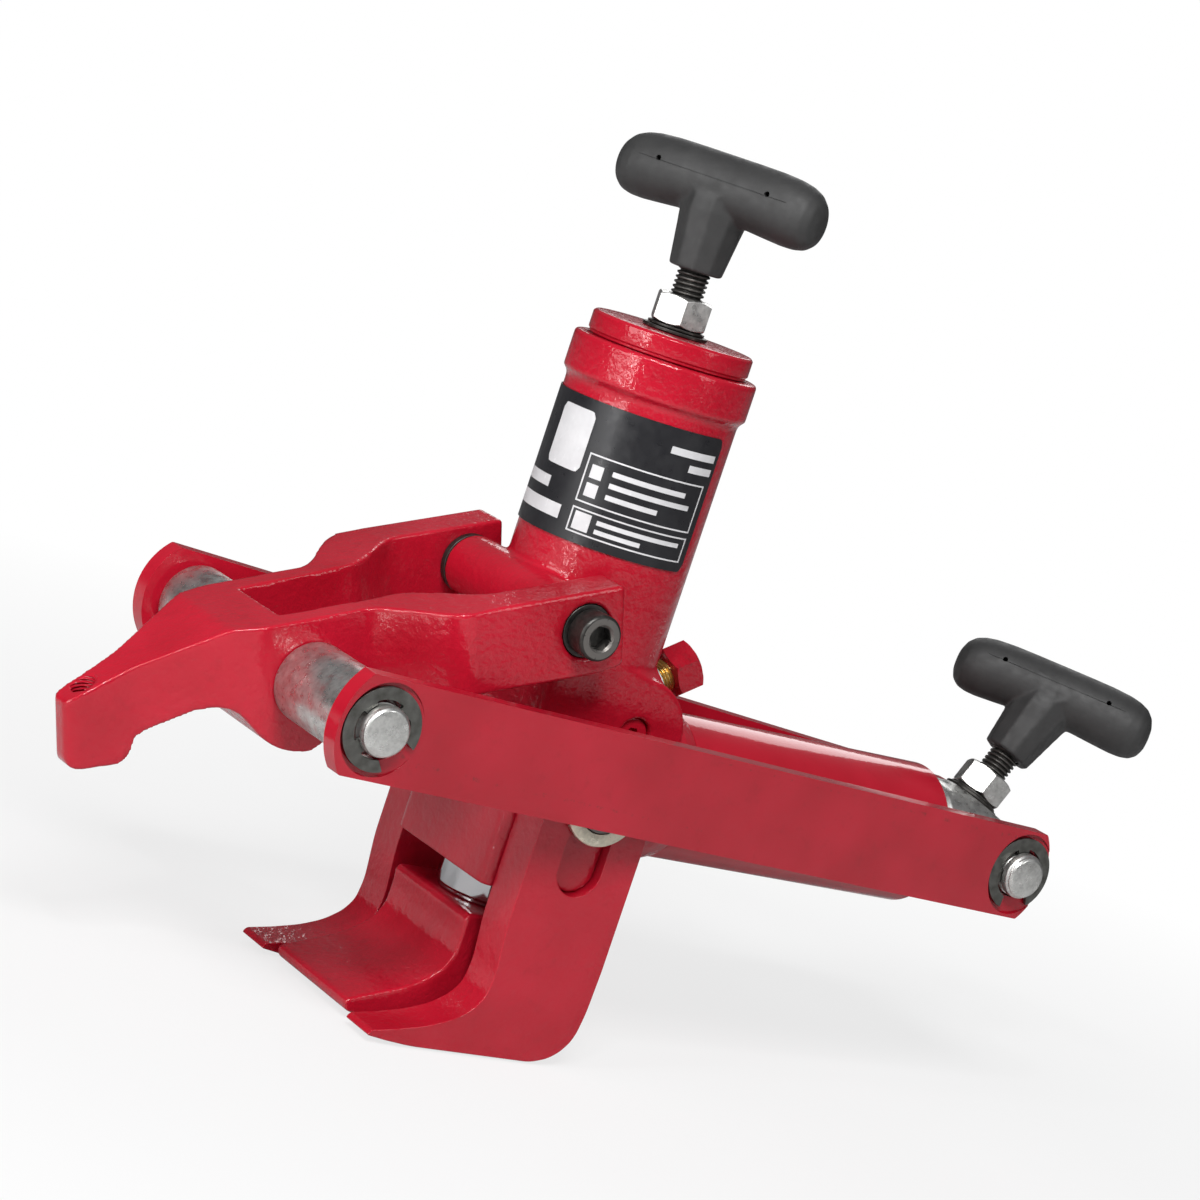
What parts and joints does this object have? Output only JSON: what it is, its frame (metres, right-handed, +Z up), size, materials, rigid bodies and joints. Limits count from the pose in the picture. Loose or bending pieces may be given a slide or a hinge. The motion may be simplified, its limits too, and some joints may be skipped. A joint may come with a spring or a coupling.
{
  "type": "hydraulic bead breaker",
  "caption": "Red hydraulic tyre bead breaker: a vertical push ram with a shoe, a horizontal clamp ram, side links and a pivoted rim claw, with T-handles.",
  "frame": {"origin": "on the plane of the foot soles, below the middle of the overall length and width; the cylinder axes cross 36.4 mm in front of it and 97.5 mm above it", "axes": "+Z up along the push cylinder, +X rearwards along the clamp cylinder towards the crosshead, -Y the near side of the picture"},
  "size_m": [0.4542, 0.16, 0.3259],
  "materials": {
    "red_paint": "gloss enamel",
    "bright_zinc": "bright zinc plate",
    "yellow_zinc": "yellow passivated zinc",
    "hard_chrome": "ground and chromed",
    "black_oxide": "black oxide",
    "spring_steel": "phosphated spring steel",
    "bronze": "turned bronze",
    "seal_rubber": "matt",
    "grip_plastic": "moulded, satin",
    "label": "printed vinyl, blank"
  },
  "bodies": {
    "body": {"body_casting": "red_paint", "push_cylinder_cap": "red_paint", "push_cap_seal": "seal_rubber", "push_gland_bush": "bronze", "push_rod_wiper": "seal_rubber", "clamp_cylinder_tube": "red_paint", "clamp_gland_ring": "bronze", "clamp_rod_wiper": "seal_rubber", "inlet_adapter": "yellow_zinc", "inlet_seal_washer": "bright_zinc", "label_plate": "label", "top_handle_nut": "bright_zinc", "top_handle_washer_lower": "black_oxide", "top_handle_washer_upper": "black_oxide", "boss_plug_near": "red_paint", "boss_plug_far": "red_paint", "foot_plate_near": "red_paint", "foot_plate_far": "red_paint", "foot_washer_near": "bright_zinc", "foot_washer_far": "bright_zinc", "foot_screw_near": "black_oxide", "foot_screw_far": "black_oxide", "claw_pivot_screw_near": "black_oxide", "claw_pivot_screw_far": "black_oxide"},
    "push_ram": {"push_ram_rod": "hard_chrome", "push_piston_seal": "seal_rubber", "push_return_spring": "spring_steel", "push_shoe": "red_paint", "push_shoe_screw": "black_oxide"},
    "clamp_ram": {"clamp_ram_rod": "hard_chrome", "clamp_piston_seal": "seal_rubber", "clamp_crosshead": "bright_zinc", "crosshead_grub_screw": "black_oxide", "rear_pin": "bright_zinc", "rear_handle_nut": "bright_zinc", "rear_handle_washer_lower": "black_oxide", "rear_handle_washer_upper": "black_oxide", "rear_clip_near": "spring_steel", "rear_clip_far": "spring_steel"},
    "links": {"link_near": "red_paint", "link_far": "red_paint"},
    "claw": {"claw_arm": "red_paint", "front_pin": "bright_zinc", "front_sleeve_near": "bright_zinc", "front_sleeve_far": "bright_zinc", "front_clip_near": "spring_steel", "front_clip_far": "spring_steel", "claw_pivot_bush_near": "black_oxide", "claw_pivot_bush_far": "black_oxide"},
    "top_handle": {"top_handle_stud": "black_oxide", "top_handle_grip": "grip_plastic"},
    "rear_handle": {"rear_handle_stud": "black_oxide", "rear_handle_grip": "grip_plastic"}
  },
  "joints": [
    {"name": "clamp_extend", "type": "slide", "parent": "body", "child": "clamp_ram", "axis": [1, 0, 0], "range_m": [0, 0.022]},
    {"name": "link_swing", "type": "hinge", "parent": "clamp_ram", "child": "links", "pos_m": [0.1756, 0, 0.0975], "axis": [0, -1, 0], "range_deg": [0, 6]},
    {"name": "claw_swing", "type": "hinge", "parent": "body", "child": "claw", "pos_m": [-0.0669, 0, 0.1564], "axis": [0, -1, 0], "range_deg": [0, 23]},
    {"name": "push_extend", "type": "slide", "parent": "body", "child": "push_ram", "axis": [0, 0, -1], "range_m": [0, 0.075], "deforming": ["push_return_spring"]},
    {"name": "top_handle_turn", "type": "hinge", "parent": "body", "child": "top_handle", "pos_m": [-0.0364, 0, 0.2675], "axis": [0, 0, 1], "range_deg": [-90, 90]},
    {"name": "rear_handle_turn", "type": "hinge", "parent": "clamp_ram", "child": "rear_handle", "pos_m": [0.1746, 0, 0.1222], "axis": [0.4384, 0, 0.8988], "range_deg": [-90, 90]}
  ],
  "couplings": [
    {"joint": "link_swing", "follows": "clamp_extend", "rad_per_m": 4.145},
    {"joint": "claw_swing", "follows": "clamp_extend", "rad_per_m": 17.715}
  ]
}
